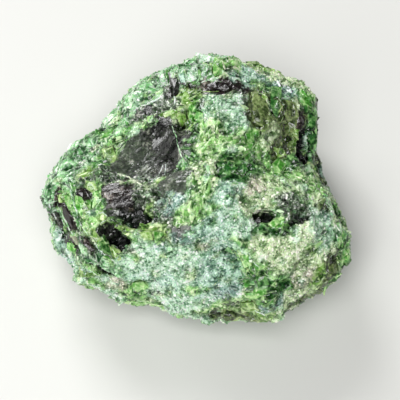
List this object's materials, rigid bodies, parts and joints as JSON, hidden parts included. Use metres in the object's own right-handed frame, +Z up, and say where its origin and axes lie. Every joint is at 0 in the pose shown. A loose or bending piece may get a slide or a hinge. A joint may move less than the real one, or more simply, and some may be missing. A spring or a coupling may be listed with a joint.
{
  "type": "rough chrome diopside stone",
  "caption": "Rough green mineral lump of grown-together blocky crystals with dark cleavage faces, pits and pale granular patches, resting on a small flat spot.",
  "frame": {"origin": "centre of the bounding box, at the surface the stone rests on", "axes": "+X along the longest extent, to the right in the picture; +Y away from the viewer; +Z up"},
  "size_m": [0.0486, 0.046, 0.0292],
  "materials": {
    "diopside": "broken crystal: glassy green and near-black cleavage faces between pale, sugary granular patches"
  },
  "bodies": {
    "root": {"diopside_stone": "diopside"}
  },
  "joints": []
}
